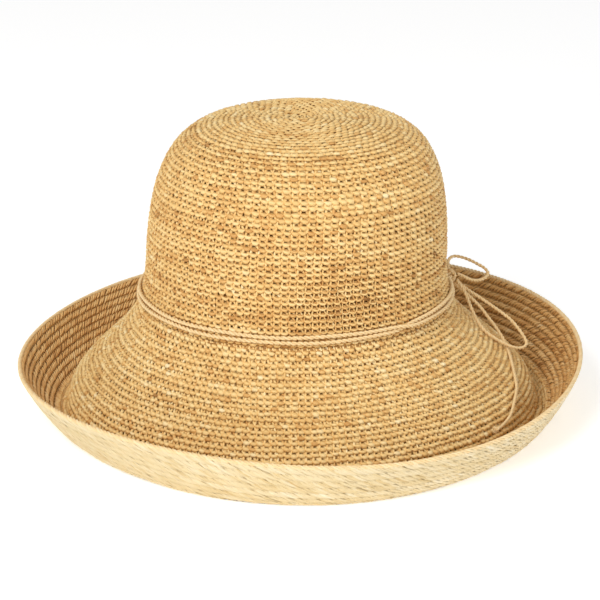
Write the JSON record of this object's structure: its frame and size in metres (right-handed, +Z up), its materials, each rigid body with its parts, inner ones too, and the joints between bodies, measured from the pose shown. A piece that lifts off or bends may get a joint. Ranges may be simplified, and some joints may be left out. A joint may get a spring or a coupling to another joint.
{
  "type": "straw sun hat",
  "caption": "Crocheted raffia sun hat with a tall round crown, a bell-shaped brim turned up at the rim, and a twisted raffia cord tied in a bow at the side.",
  "frame": {"origin": "middle of the hat's bounding box in plan, on the flat surface the brim rests on", "axes": "+Z up through the crown, -Y towards the front of the hat as it is looked at, +X towards the side with the bow"},
  "size_m": [0.3486, 0.3493, 0.1815],
  "materials": {
    "raffia_crochet": "single crochet in flat raffia straw, satin, honey coloured with lighter and redder strands",
    "raffia_braid": "tight plaited raffia in narrow ridged courses, satin, a little paler on its under side",
    "raffia_cord": "two-strand twisted raffia cord, satin",
    "ribbon": "ribbed cotton ribbon, matt beige",
    "tab": "plain woven tape, matt off-white, blank"
  },
  "bodies": {
    "hat": {"crown_tip": "raffia_crochet", "crown_shoulder": "raffia_crochet", "crown_side": "raffia_crochet", "brim_bell": "raffia_crochet", "brim_braid": "raffia_braid", "rim_edge": "raffia_braid", "sweatband": "ribbon", "size_tab": "tab", "cord_turn_lower": "raffia_cord", "cord_turn_upper": "raffia_cord", "bow_knot": "raffia_cord"},
    "bow_front": {"bow_loop_long": "raffia_cord", "tail_front": "raffia_cord", "tail_front_knot": "raffia_cord"},
    "bow_side": {"bow_loop_short": "raffia_cord"},
    "bow_back": {"tail_back": "raffia_cord", "tail_back_knot": "raffia_cord"}
  },
  "joints": [
    {"name": "long_loop_lift", "type": "hinge", "parent": "hat", "child": "bow_front", "pos_m": [0.0967, 0.0175, 0.0722], "axis": [0.019, -0.9954, 0.0939], "range_deg": [0, 25]},
    {"name": "short_loop_lift", "type": "hinge", "parent": "hat", "child": "bow_side", "pos_m": [0.0972, 0.0162, 0.0762], "axis": [0.7008, -0.7008, 0.1332], "range_deg": [0, 30]},
    {"name": "back_tail_lift", "type": "hinge", "parent": "hat", "child": "bow_back", "pos_m": [0.0928, 0.0196, 0.0713], "axis": [0.8154, -0.1421, -0.5613], "range_deg": [0, 30]}
  ]
}
